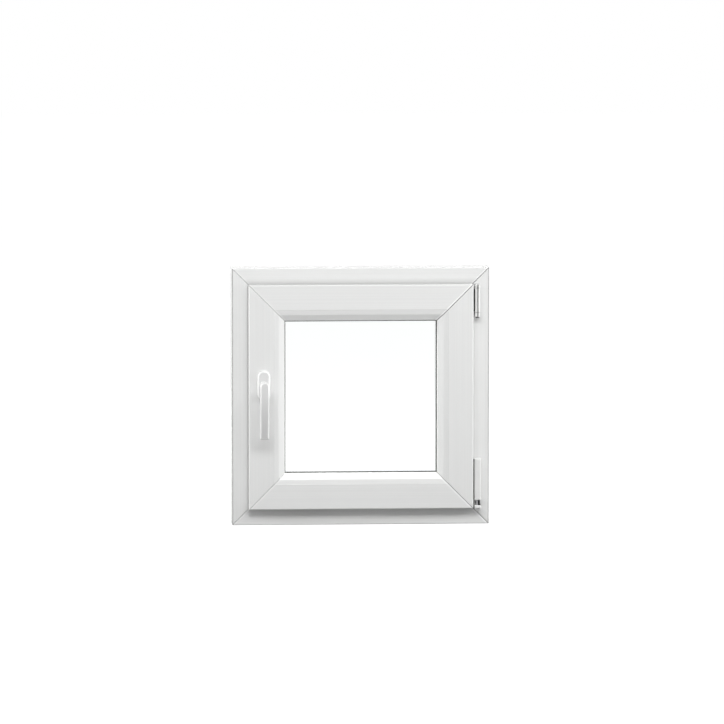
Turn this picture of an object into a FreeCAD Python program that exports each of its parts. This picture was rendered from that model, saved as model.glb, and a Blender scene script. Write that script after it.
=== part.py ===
import FreeCAD, Part
import math
import os

# A white plastic tilt-and-turn window: an outer frame, an opening sash with double glazing held by
# beads, a lever handle on the left stile and two hinges on the right. Millimetres.
# X runs right as seen from the room, Z up and +Y outdoors. The origin is the middle of the frame's
# bottom face. In every section u is the distance in from the frame's outer edge.

Vector = FreeCAD.Vector

# Overall sizes of the outer frame
WIDTH = 600.0
HEIGHT = 600.0
FRAME_DEPTH = 70.0

# Frame section
FRAME_VISIBLE = 37.8        # strip of frame seen beside the sash from the room
SASH_OVERLAP = 8.5          # how far the sash flange covers the frame
REBATE_GAP = 12.0           # air between frame and sash, where the fittings run
LIP_COVER = 8.0             # how far the frame's outdoor lip covers the sash
LIP_THICKNESS = 17.0
LIP_SLOPE = 3.5             # fall of the lip's end towards outdoors
DRAIN_DROP = 5.5            # depth of the drain channel beside the lip
DRAIN_CHANNEL = 10.0        # width of its floor
CLIP_MOUTH = 8.0            # grooves in the frame's outer edge for fixing clips
CLIP_FLOOR = 11.0
CLIP_DEPTH = 4.0
CLIP_OFFSET = 18.0          # groove centre from the middle of the depth

# Sash section
SASH_DEPTH = 70.0
SASH_PROUD = 21.0           # sash face stands this far in front of the frame face
FLANGE_THICKNESS = 16.5
SASH_FACE = 59.3            # flat face of the sash, flange edge to glazing bead
GLAZING_LIP = 23.9          # height of the outdoor glazing lip
GLAZING_LIP_THICKNESS = 14.0
GLAZING_LIP_SLOPE = 4.5
FITTINGS_GROOVE = 12.0      # groove in the sash edge for the locking rods
FITTINGS_MOUTH = 16.0
FITTINGS_DEPTH = 11.5
FITTINGS_STEP = 3.0
FITTINGS_CENTRE = 36.0      # from the sash's room face

# Walls shared by both sections
WALL = 2.8
WEB = 1.5
EDGE_ROUND = 1.0
FRAME_ROUND = 2.0
FLANGE_ROUND = 2.5
WELD_WIDTH = 2.8            # V groove left along each welded mitre
WELD_DEPTH = 1.2

# Gaskets
GASKET_FOOT = 3.2
GASKET_FOOT_DEPTH = 5.0
GASKET_BULB = 7.0
GASKET_INSET = 1.5          # bulb edge behind the lip or flange edge
GLAZING_GASKET = 3.0        # between bead and glass
OUTER_GASKET = 5.0          # between outdoor lip and glass
GASKET_SHOW = 2.4           # what shows beyond the bead

# Glass unit and glazing bead
PANE = 4.0
CAVITY = 16.0
GLASS_GAP = 5.0             # glass edge above the rebate floor
SPACER_SETBACK = 4.0
SPACER_HEIGHT = 7.0
BEAD_HEIGHT = 24.9
BEAD_RECESS = 0.6           # bead starts this far behind the sash face
BEAD_SHALLOW = 12.0         # degrees, the outer slope
BEAD_STEEP = 30.0           # degrees, the inner slope
BEAD_ROLL = 6.0             # rounding between the two slopes
BEAD_NOSE = 1.6
BEAD_LAND = 13.9            # height of the bead's nose above its back
BEAD_FOOT = 3.1
BEAD_FOOT_DEPTH = 5.5
BEAD_FOOT_SETBACK = 10.2    # from the sash face

# Handle
HANDLE_HEIGHT = 329.0       # spindle above the frame's bottom face
HANDLE_INSET = 72.5         # spindle in from the frame's outer edge
ROSETTE_WIDTH = 30.0
ROSETTE_HEIGHT = 70.0
ROSETTE_THICKNESS = 11.0
ROSETTE_BEVEL = 3.5         # rim, eased at both of its edges
ROSETTE_EASE = 1.0
COLLAR_DIAMETER = 22.0
COLLAR_HEIGHT = 2.0
JOURNAL_DIAMETER = 16.0
JOURNAL_CLEARANCE = 0.06    # radial running fit
NECK_DIAMETER = 18.0
LEVER_REACH = 123.5         # spindle to the tip
LEVER_WIDTH = 21.0
LEVER_THICKNESS = 12.0
LEVER_STANDOFF = 50.0       # sash face to the grip's front at the neck
LEVER_BOW = 14.0            # how far the tip bends back towards the sash
LEVER_KNEE = 30.0           # where the bow starts, below the spindle
LEVER_SWEEP = 260.0         # radius of the bow
LEVER_TIP = 9.0             # thickness at the tip
LEVER_BEVEL = 2.6           # front rim, eased at both of its edges
LEVER_EASE = 0.8
LEVER_BACK_BEVEL = 1.5
NECK_GAP = 0.6
NECK_FLARE = 1.0

# Hinges, on the right-hand side
HINGE_AXIS_OUT = 9.6        # hinge axis beyond the sash flange edge
HINGE_AXIS_FORWARD = 11.0   # hinge axis in front of the frame face
BARREL_DIAMETER = 12.5
BARREL_UPPER = 9.0
BARREL_MIDDLE = 56.0
BARREL_LOWER = 10.5
BARREL_JOINT = 0.8
BARREL_BEVEL = 1.5
SEAM_OFFSET = 1.0           # upright slot in the barrel's front, beside its axis
SEAM_WIDTH = 2.6
SEAM_DEPTH = 4.0            # below the barrel's foremost line, so that the pin shows
BRACKET_THICKNESS = 3.0
BRACKET_WIDTH = 12.0
BRACKET_SHIFT = 0.2         # plate further from the sash than the barrel
WEB_BITE = 1.5              # web let into the back of the barrel
PIN_DIAMETER = 6.0
PIN_HEAD = 1.5
PIN_CLEARANCE = 0.05
COVER_WIDTH = 15.3
COVER_HEIGHT = 98.0
COVER_BOTTOM = 56.6         # above the frame's bottom face
COVER_ROUND = 3.0
HINGE_GAP = 2.7             # shadow line between sash edge and hinge
HINGE_FRONT = 1.0           # hinge covers stop this far behind the sash face
HINGE_CLEAR = 2.0           # back of the cover in front of the frame
SEAT_THICKNESS = 6.0        # arms that carry hinge pieces on the sash edge
SEAT_INSET = 2.0
BEARING_HEIGHT = 8.5
BEARING_GAP = 11.6          # pivot showing between bearing and cover
PIVOT_DIAMETER = 7.0
ARM_FOOT_PROUD = 4.0        # lower hinge's arm, thickened beside the bearing
ARM_FOOT_CLEAR = 0.7        # between that foot and the bearing

# Drain caps on the outdoor face of the sill
DRAIN_INSET = 150.0
DRAIN_RISE = 22.0
DRAIN_WIDTH = 42.0
DRAIN_HEIGHT = 14.0
DRAIN_PROUD = 6.0
DRAIN_SHELL = 1.6
DRAIN_SLOT = 30.0
DRAIN_SLOT_HEIGHT = 5.0

# Derived depths, along Y
FRAME_ROOM = -FRAME_DEPTH / 2
FRAME_OUT = FRAME_DEPTH / 2
SASH_ROOM = FRAME_ROOM - SASH_PROUD
SASH_OUT = SASH_ROOM + SASH_DEPTH
LIP_INNER = FRAME_OUT - LIP_THICKNESS
FLANGE_BACK = SASH_ROOM + FLANGE_THICKNESS
GLAZING_LIP_INNER = SASH_OUT - GLAZING_LIP_THICKNESS
GLASS_OUT = GLAZING_LIP_INNER - OUTER_GASKET
GLASS_ROOM = GLASS_OUT - 2 * PANE - CAVITY
BEAD_BACK = GLASS_ROOM - GLAZING_GASKET

# Derived distances in from the frame's outer edge
FLANGE_EDGE = FRAME_VISIBLE
LEG_TOP = FLANGE_EDGE + SASH_OVERLAP
SASH_EDGE = LEG_TOP + REBATE_GAP
LIP_TOP = SASH_EDGE + LIP_COVER
GLAZING_FLOOR = FLANGE_EDGE + SASH_FACE
GLAZING_LIP_TOP = GLAZING_FLOOR + GLAZING_LIP
BEAD_TOP = GLAZING_FLOOR + BEAD_HEIGHT
GLASS_EDGE = GLAZING_FLOOR + GLASS_GAP
DRAIN_FLOOR = LEG_TOP - DRAIN_DROP
LIP_GASKET = LIP_TOP - GASKET_INSET - GASKET_BULB / 2
FLANGE_GASKET = FLANGE_EDGE + GASKET_INSET + GASKET_BULB / 2
OUTER_GASKET_CENTRE = GLAZING_LIP_TOP - GASKET_INSET - GASKET_BULB / 2

# Handle and hinge axes
HANDLE_X = -WIDTH / 2 + HANDLE_INSET
HINGE_X = WIDTH / 2 - FLANGE_EDGE + HINGE_AXIS_OUT
HINGE_Y = FRAME_ROOM - HINGE_AXIS_FORWARD
SASH_EDGE_X = WIDTH / 2 - FLANGE_EDGE

SIDES = ("left", "bottom", "right", "top")
TURN = {"left": 0, "bottom": -90, "right": 180, "top": 90}
CORNER = {
    "left": Vector(-WIDTH / 2, 0, 0),
    "bottom": Vector(WIDTH / 2, 0, 0),
    "right": Vector(WIDTH / 2, 0, HEIGHT),
    "top": Vector(-WIDTH / 2, 0, HEIGHT),
}
LENGTH = {"left": HEIGHT, "right": HEIGHT, "bottom": WIDTH, "top": WIDTH}


def rounded_corner(before, corner, after, radius):
    """Return the start, middle and end of the arc that rounds a corner."""
    back = (before - corner).normalize()
    ahead = (after - corner).normalize()
    half = back.getAngle(ahead) / 2
    reach = radius / math.tan(half)
    inward = (back + ahead).normalize()
    middle = corner + inward * (radius / math.sin(half) - radius)
    return corner + back * reach, middle, corner + ahead * reach


def outline(corners):
    """Closed wire in the XY plane through (x, y) or (x, y, radius) corners."""
    points = [Vector(corner[0], corner[1], 0) for corner in corners]
    radii = [corner[2] if len(corner) > 2 else 0 for corner in corners]
    count = len(points)
    bends = []
    for i in range(count):
        if radii[i]:
            bends.append(rounded_corner(points[i - 1], points[i], points[(i + 1) % count], radii[i]))
        else:
            bends.append((points[i],))
    edges = []
    for i in range(count):
        if radii[i]:
            edges.append(Part.Arc(*bends[i]).toShape())
        start = bends[i][-1]
        end = bends[(i + 1) % count][0]
        if start.distanceToPoint(end) > 1e-6:
            edges.append(Part.LineSegment(start, end).toShape())
    return Part.Wire(edges)


def rectangle(low_u, high_u, low_y, high_y):
    """Corners of a rectangle in a section."""
    return [(low_u, low_y), (high_u, low_y), (high_u, high_y), (low_u, high_y)]


def section(corners, chambers=()):
    """Face of a section, with hollow chambers."""
    wires = [outline(corners)]
    for chamber in chambers:
        wires.append(outline(chamber))
    return Part.makeFace(wires, "Part::FaceMakerBullseye")


def mitred_bar(profile, length):
    """Bar along Z from a section in the XY plane, both ends cut at 45 degrees."""
    box = profile.BoundBox
    reach = box.XMax + 1
    wedge = Part.makePolygon([
        Vector(0, box.YMin - 1, 0),
        Vector(reach, box.YMin - 1, reach),
        Vector(reach, box.YMin - 1, length - reach),
        Vector(0, box.YMin - 1, length),
        Vector(0, box.YMin - 1, 0),
    ])
    prism = Part.Face(wedge).extrude(Vector(0, box.YLength + 2, 0))
    return profile.extrude(Vector(0, 0, length)).common(prism)


def weld_grooves(bar, length, face_y, inward):
    """Cut half of the V groove along both mitres of a bar, on the face at face_y."""
    reach = bar.BoundBox.XMax + 1
    across = Vector(-1, 0, 1).normalize() * WELD_WIDTH
    above = Vector(0, face_y - inward * WELD_DEPTH, 0)
    triangle = Part.makePolygon([
        above + across,
        above - across,
        Vector(0, face_y + inward * WELD_DEPTH, 0),
        above + across,
    ])
    groove = Part.Face(triangle).extrude(Vector(reach, 0, reach))
    other = groove.mirror(Vector(0, 0, length / 2), Vector(0, 0, 1))
    return bar.cut([groove, other])


def placed(bar, side):
    """Turn a bar about Y to its side of the window."""
    turned = bar.copy()
    turned.Placement = FreeCAD.Placement(CORNER[side], FreeCAD.Rotation(Vector(0, 1, 0), TURN[side]))
    return turned


def bars(profile, grooved_faces=()):
    """The four mitred bars of one section, by side."""
    made = {}
    for side in SIDES:
        bar = mitred_bar(profile, LENGTH[side])
        for face_y, inward in grooved_faces:
            bar = weld_grooves(bar, LENGTH[side], face_y, inward)
        made[side] = placed(bar, side)
    return made


def ring(profile):
    """A continuous ring of one section right round the window."""
    four = bars(profile)
    return four["left"].fuse([four["bottom"], four["right"], four["top"]]).removeSplitter()


def clip_groove(centre):
    """Dovetail groove in the frame's outer edge, listed from +Y to -Y."""
    return [
        (0, centre + CLIP_MOUTH / 2),
        (CLIP_DEPTH, centre + CLIP_FLOOR / 2),
        (CLIP_DEPTH, centre - CLIP_FLOOR / 2),
        (0, centre - CLIP_MOUTH / 2),
    ]


def frame_section():
    """Outer frame: room leg, drain channel, outdoor lip with gasket groove, and its chambers."""
    foot = GASKET_FOOT / 2
    channel = LIP_INNER - DRAIN_CHANNEL
    corners = [
        (0, FRAME_ROOM, FRAME_ROUND),
        (LEG_TOP, FRAME_ROOM, FRAME_ROUND),
        (LEG_TOP, channel - DRAIN_DROP),
        (DRAIN_FLOOR, channel),
        (DRAIN_FLOOR, LIP_INNER),
        (LIP_GASKET - foot, LIP_INNER),
        (LIP_GASKET - foot, LIP_INNER + GASKET_FOOT_DEPTH),
        (LIP_GASKET + foot, LIP_INNER + GASKET_FOOT_DEPTH),
        (LIP_GASKET + foot, LIP_INNER),
        (LIP_TOP, LIP_INNER, EDGE_ROUND),
        (LIP_TOP - LIP_SLOPE, FRAME_OUT, FRAME_ROUND),
        (0, FRAME_OUT, EDGE_ROUND),
    ]
    corners += clip_groove(CLIP_OFFSET) + clip_groove(-CLIP_OFFSET)
    low = CLIP_DEPTH + WALL
    first = FRAME_ROOM + WALL
    last = FRAME_OUT - WALL
    middle = channel - DRAIN_DROP - WALL
    half = (first + middle) / 2
    chambers = [
        rectangle(low, LEG_TOP - WALL, first, half - WEB / 2),
        rectangle(low, LEG_TOP - WALL, half + WEB / 2, middle),
        rectangle(low, DRAIN_FLOOR - WALL, middle + WEB, LIP_INNER + WALL - WEB),
        rectangle(low, LIP_GASKET - foot - WALL, LIP_INNER + WALL, last),
    ]
    return section(corners, chambers)


def sash_section():
    """Sash: room flange, glazing rebate with bead groove, outdoor lip, and its chambers."""
    foot = GASKET_FOOT / 2
    bead_groove = SASH_ROOM + BEAD_FOOT_SETBACK
    fittings = SASH_ROOM + FITTINGS_CENTRE
    mouth = FITTINGS_MOUTH / 2
    groove = FITTINGS_GROOVE / 2
    corners = [
        (FLANGE_EDGE, SASH_ROOM, FLANGE_ROUND),
        (GLAZING_FLOOR, SASH_ROOM, EDGE_ROUND),
        (GLAZING_FLOOR, bead_groove),
        (GLAZING_FLOOR - BEAD_FOOT_DEPTH, bead_groove),
        (GLAZING_FLOOR - BEAD_FOOT_DEPTH, bead_groove + BEAD_FOOT),
        (GLAZING_FLOOR, bead_groove + BEAD_FOOT),
        (GLAZING_FLOOR, GLAZING_LIP_INNER),
        (OUTER_GASKET_CENTRE - foot, GLAZING_LIP_INNER),
        (OUTER_GASKET_CENTRE - foot, GLAZING_LIP_INNER + GASKET_FOOT_DEPTH),
        (OUTER_GASKET_CENTRE + foot, GLAZING_LIP_INNER + GASKET_FOOT_DEPTH),
        (OUTER_GASKET_CENTRE + foot, GLAZING_LIP_INNER),
        (GLAZING_LIP_TOP, GLAZING_LIP_INNER, EDGE_ROUND),
        (GLAZING_LIP_TOP - GLAZING_LIP_SLOPE, SASH_OUT, FRAME_ROUND),
        (SASH_EDGE, SASH_OUT, EDGE_ROUND),
        (SASH_EDGE, fittings + mouth),
        (SASH_EDGE + FITTINGS_STEP, fittings + mouth),
        (SASH_EDGE + FITTINGS_STEP, fittings + groove),
        (SASH_EDGE + FITTINGS_DEPTH, fittings + groove),
        (SASH_EDGE + FITTINGS_DEPTH, fittings - groove),
        (SASH_EDGE + FITTINGS_STEP, fittings - groove),
        (SASH_EDGE + FITTINGS_STEP, fittings - mouth),
        (SASH_EDGE, fittings - mouth),
        (SASH_EDGE, FLANGE_BACK),
        (FLANGE_GASKET + foot, FLANGE_BACK),
        (FLANGE_GASKET + foot, FLANGE_BACK - GASKET_FOOT_DEPTH),
        (FLANGE_GASKET - foot, FLANGE_BACK - GASKET_FOOT_DEPTH),
        (FLANGE_GASKET - foot, FLANGE_BACK),
        (FLANGE_EDGE, FLANGE_BACK, EDGE_ROUND),
    ]
    room = SASH_ROOM + WALL
    under_bead = GLAZING_FLOOR - BEAD_FOOT_DEPTH - WALL
    over_groove = SASH_EDGE + FITTINGS_DEPTH + WALL
    before_groove = fittings - mouth - WALL
    steel_out = GLAZING_LIP_INNER + WALL - WEB
    lip_high = OUTER_GASKET_CENTRE - foot - WALL
    chambers = [
        rectangle(FLANGE_EDGE + WALL + WEB, SASH_EDGE, room, FLANGE_BACK - GASKET_FOOT_DEPTH - WALL),
        rectangle(SASH_EDGE + WALL, under_bead, room, before_groove),
        rectangle(over_groove, GLAZING_FLOOR - WALL, before_groove + WEB, steel_out),
        rectangle(SASH_EDGE + WALL, lip_high, GLAZING_LIP_INNER + WALL, SASH_OUT - WALL),
    ]
    return section(corners, chambers)


def bead_section():
    """Glazing bead: a shallow outer slope that rolls over into a steep inner one."""
    start = (GLAZING_FLOOR + EDGE_ROUND, SASH_ROOM + BEAD_RECESS)
    nose = (BEAD_TOP - BEAD_NOSE, BEAD_BACK - BEAD_LAND)
    steep = math.radians(BEAD_STEEP)
    shallow = math.radians(BEAD_SHALLOW)
    # the two slopes meet where the bead rolls over
    across = nose[0] - start[0]
    down = nose[1] - start[1]
    run = (across * math.tan(steep) - down) / (math.tan(steep) - math.tan(shallow))
    meet = (start[0] + run, start[1] + run * math.tan(shallow))
    foot = SASH_ROOM + BEAD_FOOT_SETBACK
    corners = [
        (GLAZING_FLOOR, start[1]),
        (start[0], start[1]),
        (meet[0], meet[1], BEAD_ROLL),
        (nose[0], nose[1]),
        (BEAD_TOP, nose[1] + 2 * BEAD_NOSE, BEAD_NOSE),
        (BEAD_TOP, BEAD_BACK),
        (GLAZING_FLOOR, BEAD_BACK),
        (GLAZING_FLOOR, foot + BEAD_FOOT),
        (GLAZING_FLOOR - BEAD_FOOT_DEPTH, foot + BEAD_FOOT),
        (GLAZING_FLOOR - BEAD_FOOT_DEPTH, foot),
        (GLAZING_FLOOR, foot),
    ]
    return section(corners)


def bulb_gasket(centre, base_y, contact_y):
    """Push-in gasket: a foot in its groove and a bulb reaching the opposite face."""
    foot = GASKET_FOOT / 2
    half = GASKET_BULB / 2
    inward = 1 if base_y > contact_y else -1
    return section([
        (centre - foot, base_y),
        (centre - foot, base_y + inward * GASKET_FOOT_DEPTH),
        (centre + foot, base_y + inward * GASKET_FOOT_DEPTH),
        (centre + foot, base_y),
        (centre + half, base_y),
        (centre + half, contact_y, half / 2),
        (centre - half, contact_y, half / 2),
        (centre - half, base_y),
    ])


def glazing_gasket_section():
    """Gasket on the back of the bead, with the lip that shows beyond it."""
    low = BEAD_TOP - GASKET_BULB
    high = BEAD_TOP + GASKET_SHOW
    return section([
        (low, BEAD_BACK),
        (high, BEAD_BACK, GASKET_SHOW / 2),
        (high, GLASS_ROOM),
        (low, GLASS_ROOM),
    ])


def pane(low_y):
    """One sheet of glass."""
    corner = Vector(-WIDTH / 2 + GLASS_EDGE, low_y, GLASS_EDGE)
    return Part.makeBox(WIDTH - 2 * GLASS_EDGE, PANE, HEIGHT - 2 * GLASS_EDGE, corner)


def spacer_section():
    """Spacer bar between the panes."""
    low = GLASS_EDGE + SPACER_SETBACK
    room = GLASS_ROOM + PANE
    return section(rectangle(low, low + SPACER_HEIGHT, room, room + CAVITY))


def stadium(width, height):
    """Upright slot outline in the XZ plane, centred on the origin."""
    radius = width / 2
    straight = height / 2 - radius
    top = Part.Arc(Vector(radius, 0, straight), Vector(0, 0, height / 2), Vector(-radius, 0, straight))
    low = Part.Arc(Vector(-radius, 0, -straight), Vector(0, 0, -height / 2), Vector(radius, 0, -straight))
    left = Part.LineSegment(Vector(-radius, 0, straight), Vector(-radius, 0, -straight))
    right = Part.LineSegment(Vector(radius, 0, -straight), Vector(radius, 0, straight))
    return Part.Wire([top.toShape(), left.toShape(), low.toShape(), right.toShape()])


def flat_at(low, high, level):
    """Whether an extent lies wholly at one level."""
    return abs(low - level) < 1e-4 and abs(high - level) < 1e-4


def edges_at(shape, y):
    """Edges lying wholly in the plane at this y."""
    return [edge for edge in shape.Edges if flat_at(edge.BoundBox.YMin, edge.BoundBox.YMax, y)]


def round_along_y(diameter, low_y, high_y):
    """Cylinder along Y on the spindle's axis."""
    return Part.makeCylinder(diameter / 2, high_y - low_y, Vector(0, low_y, 0), Vector(0, 1, 0))


def rosette():
    """Handle rosette: a slot-shaped plate with an eased rim, a collar and the journal's bore."""
    front = SASH_ROOM - ROSETTE_THICKNESS
    plate = Part.Face(stadium(ROSETTE_WIDTH, ROSETTE_HEIGHT)).extrude(Vector(0, -ROSETTE_THICKNESS, 0))
    plate.translate(Vector(0, SASH_ROOM, 0))
    plate = plate.makeChamfer(ROSETTE_BEVEL, edges_at(plate, front))
    for level in (front, front + ROSETTE_BEVEL):
        plate = plate.makeChamfer(ROSETTE_EASE, edges_at(plate, level))
    collar = round_along_y(COLLAR_DIAMETER, front - COLLAR_HEIGHT, front + COLLAR_HEIGHT)
    body = plate.fuse(collar).removeSplitter()
    bore = round_along_y(JOURNAL_DIAMETER + 2 * JOURNAL_CLEARANCE, front - 2 * COLLAR_HEIGHT, SASH_ROOM + 1)
    body = body.cut(bore)
    body.translate(Vector(HANDLE_X, 0, HANDLE_HEIGHT))
    return body


def turned(profile, low, high):
    """Solid of revolution about the spindle from (radius, y) points between two ends on the axis."""
    points = [Vector(0, low, 0)]
    for radius, y in profile:
        points.append(Vector(radius, y, 0))
    points += [Vector(0, high, 0), Vector(0, low, 0)]
    return Part.Face(Part.makePolygon(points)).revolve(Vector(0, 0, 0), Vector(0, 1, 0), 360)


def rim_edges(shape, facing, least):
    """Edges round the group of faces that look along a direction, by the cosine of the angle between."""
    count = {}
    found = {}
    for face in shape.Faces:
        middle = face.Surface.parameter(face.CenterOfMass)
        if face.normalAt(*middle).dot(facing) > least:
            for edge in face.Edges:
                code = edge.hashCode()
                count[code] = count.get(code, 0) + 1
                found[code] = edge
    return [found[code] for code in found if count[code] == 1]


def grip():
    """Lever with a round head, bowed back towards the sash at its tip, its front rim bevelled and eased."""
    front = SASH_ROOM - LEVER_STANDOFF
    back = front + LEVER_THICKNESS
    end = front + LEVER_BOW
    half = LEVER_WIDTH / 2
    side = outline([
        (back, half),
        (front, half),
        (front, -LEVER_KNEE, LEVER_SWEEP),
        (end, -LEVER_REACH),
        (end + LEVER_TIP, -LEVER_REACH),
        (back, -LEVER_KNEE, LEVER_SWEEP),
    ])
    # the side view is drawn in XY; stand it up in the YZ plane
    bar = Part.Face(side).extrude(Vector(0, 0, LEVER_WIDTH))
    bar.Placement = FreeCAD.Placement(Vector(-half, 0, 0), FreeCAD.Rotation(Vector(1, 1, 1), 120))
    plate = Part.makeBox(LEVER_WIDTH, LEVER_STANDOFF + 1, LEVER_REACH + 1,
                         Vector(-half, front - 1, -LEVER_REACH - 1))
    head = round_along_y(LEVER_WIDTH, front - 1, SASH_ROOM)
    body = bar.common(plate.fuse(head).removeSplitter())
    forward = Vector(0, -1, 0)
    body = body.makeChamfer(LEVER_BEVEL, rim_edges(body, forward, 0.5))
    body = body.makeChamfer(LEVER_EASE, rim_edges(body, forward, 0.9))
    body = body.makeChamfer(LEVER_EASE, rim_edges(body, forward, 0.3))
    return body.makeChamfer(LEVER_BACK_BEVEL, rim_edges(body, -forward, 0.5))


def lever():
    """Handle lever: the grip on a turned neck, whose journal runs in the rosette."""
    front = SASH_ROOM - LEVER_STANDOFF
    shoulder = SASH_ROOM - ROSETTE_THICKNESS - COLLAR_HEIGHT - NECK_GAP
    inside = front + LEVER_THICKNESS / 2
    neck = turned([
        (JOURNAL_DIAMETER / 2, SASH_ROOM - NECK_GAP),
        (JOURNAL_DIAMETER / 2, shoulder),
        (NECK_DIAMETER / 2 + NECK_FLARE, shoulder),
        (NECK_DIAMETER / 2, shoulder - 2 * NECK_FLARE),
        (NECK_DIAMETER / 2, inside),
    ], SASH_ROOM - NECK_GAP, inside)
    body = grip().fuse(neck).removeSplitter()
    body.translate(Vector(HANDLE_X, 0, HANDLE_HEIGHT))
    return body


def barrel_part(low_z, high_z, bevelled_end=None):
    """Segment of the top hinge's barrel, bored for the pin and slotted up its front."""
    centre = Vector(HINGE_X, HINGE_Y, low_z)
    length = high_z - low_z
    segment = Part.makeCylinder(BARREL_DIAMETER / 2, length, centre)
    if bevelled_end is not None:
        rim = [edge for edge in segment.Edges
               if flat_at(edge.BoundBox.ZMin, edge.BoundBox.ZMax, bevelled_end)]
        segment = segment.makeChamfer(BARREL_BEVEL, rim)
    bore = Part.makeCylinder(PIN_DIAMETER / 2 + PIN_CLEARANCE, length + 2, centre - Vector(0, 0, 1))
    low_x = SEAM_OFFSET - SEAM_WIDTH / 2
    seam = Part.makeBox(SEAM_WIDTH, SEAM_DEPTH + 1, length + 2,
                        centre + Vector(low_x, -BARREL_DIAMETER / 2 - 1, -1))
    return segment.cut([bore, seam])


def seat_rib(low_z, high_z, reach):
    """Flat arm that carries a hinge piece on the edge of the sash flange."""
    depth = SEAT_THICKNESS
    corner = Vector(SASH_EDGE_X, HINGE_Y - depth / 2, low_z)
    return Part.makeBox(reach, depth, high_z - low_z, corner)


def top_hinge():
    """Barrel in three segments on a pin: a bracket plate on the frame and an arm from the sash carry it."""
    top = HEIGHT - FLANGE_EDGE
    upper = top - BARREL_UPPER
    middle = upper - BARREL_JOINT - BARREL_MIDDLE
    lower = middle - BARREL_JOINT
    bottom = lower - BARREL_LOWER
    half = BRACKET_WIDTH / 2
    plate_y = FRAME_ROOM - BRACKET_THICKNESS
    bracket = Part.makeBox(BRACKET_WIDTH, BRACKET_THICKNESS, top - bottom,
                           Vector(HINGE_X - half + BRACKET_SHIFT, plate_y, bottom))
    barrel_back = HINGE_Y + BARREL_DIAMETER / 2 - WEB_BITE
    webs = []
    for low_z, high_z in ((bottom, lower), (upper, top)):
        inset = (high_z - low_z) / 4
        webs.append(Part.makeBox(PIN_DIAMETER, plate_y - barrel_back, high_z - low_z - 2 * inset,
                                 Vector(HINGE_X - PIN_DIAMETER / 2, barrel_back, low_z + inset)))
    lower_cap = barrel_part(bottom, lower, bottom).cut(webs[0])
    upper_cap = barrel_part(upper, top, top).cut(webs[1])
    sleeve = barrel_part(middle, upper - BARREL_JOINT)
    arm = seat_rib(middle + SEAT_INSET, upper - BARREL_JOINT - SEAT_INSET, HINGE_AXIS_OUT)
    axis = Vector(HINGE_X, HINGE_Y, 0)
    pin_radius = PIN_DIAMETER / 2
    round_barrel = Part.makeCylinder(BARREL_DIAMETER / 2, BARREL_MIDDLE, axis + Vector(0, 0, middle))
    pin = Part.makeCylinder(pin_radius, top - bottom - BARREL_BEVEL, axis + Vector(0, 0, bottom))
    head = Part.makeCylinder(pin_radius + PIN_HEAD, PIN_HEAD, axis + Vector(0, 0, bottom - PIN_HEAD))
    export("top_hinge_bracket", bracket.fuse(webs).removeSplitter())
    export("top_hinge_lower_cap", lower_cap)
    export("top_hinge_upper_cap", upper_cap)
    export("top_hinge_barrel", sleeve)
    export("top_hinge_arm", arm.cut(round_barrel))
    export("top_hinge_pin", pin.fuse(head).removeSplitter())


def hinge_block(low_z, height, front_y, back_y):
    """Upright block beside the sash edge, its front edges rounded."""
    low_x = SASH_EDGE_X + HINGE_GAP
    block = Part.makeBox(COVER_WIDTH, back_y - front_y, height, Vector(low_x, front_y, low_z))
    return block.makeFillet(COVER_ROUND, edges_at(block, front_y))


def bottom_hinge():
    """Covered sash hinge standing on a pivot in a bearing block on the frame."""
    front = SASH_ROOM + HINGE_FRONT
    bearing_top = COVER_BOTTOM - BEARING_GAP
    bearing_low = bearing_top - BEARING_HEIGHT
    pivot_low = bearing_low + BEARING_HEIGHT / 2
    pivot_high = COVER_BOTTOM + PIVOT_DIAMETER
    start = Vector(HINGE_X, HINGE_Y, pivot_low)
    pivot = Part.makeCylinder(PIVOT_DIAMETER / 2, pivot_high - pivot_low, start)
    bore = Part.makeCylinder(PIVOT_DIAMETER / 2 + PIN_CLEARANCE, pivot_high - pivot_low, start)
    cover = hinge_block(COVER_BOTTOM, COVER_HEIGHT, front, FRAME_ROOM - HINGE_CLEAR).cut(bore)
    bearing = hinge_block(bearing_low, BEARING_HEIGHT, front + HINGE_FRONT, FRAME_ROOM).cut(bore)
    arm_low = COVER_BOTTOM + SEAT_INSET
    arm = seat_rib(arm_low, COVER_BOTTOM + COVER_HEIGHT - SEAT_INSET, HINGE_GAP)
    strap = seat_rib(bearing_low, arm_low, HINGE_GAP - ARM_FOOT_CLEAR)
    foot = seat_rib(bearing_low, bearing_top, HINGE_GAP - ARM_FOOT_CLEAR)
    foot.translate(Vector(0, -ARM_FOOT_PROUD, 0))
    export("bottom_hinge_cover", cover)
    export("bottom_hinge_bearing", bearing)
    export("bottom_hinge_pin", pivot)
    export("bottom_hinge_arm", arm.fuse([strap, foot]).removeSplitter())


def drain_cap(centre_x):
    """Hood over a drain slot, open below."""
    low = Vector(centre_x - DRAIN_WIDTH / 2, FRAME_OUT, DRAIN_RISE - DRAIN_HEIGHT / 2)
    hood = Part.makeBox(DRAIN_WIDTH, DRAIN_PROUD, DRAIN_HEIGHT, low)
    far = edges_at(hood, FRAME_OUT + DRAIN_PROUD)
    rim = [edge for edge in far if edge.BoundBox.ZLength > 1 or edge.BoundBox.ZMin > DRAIN_RISE]
    hood = hood.makeFillet(DRAIN_PROUD / 2, rim)
    shell = Vector(DRAIN_SHELL, 0, -DRAIN_SHELL)
    hollow = Part.makeBox(DRAIN_WIDTH - 2 * DRAIN_SHELL, DRAIN_PROUD - DRAIN_SHELL, DRAIN_HEIGHT, low + shell)
    return hood.cut(hollow)


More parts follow.
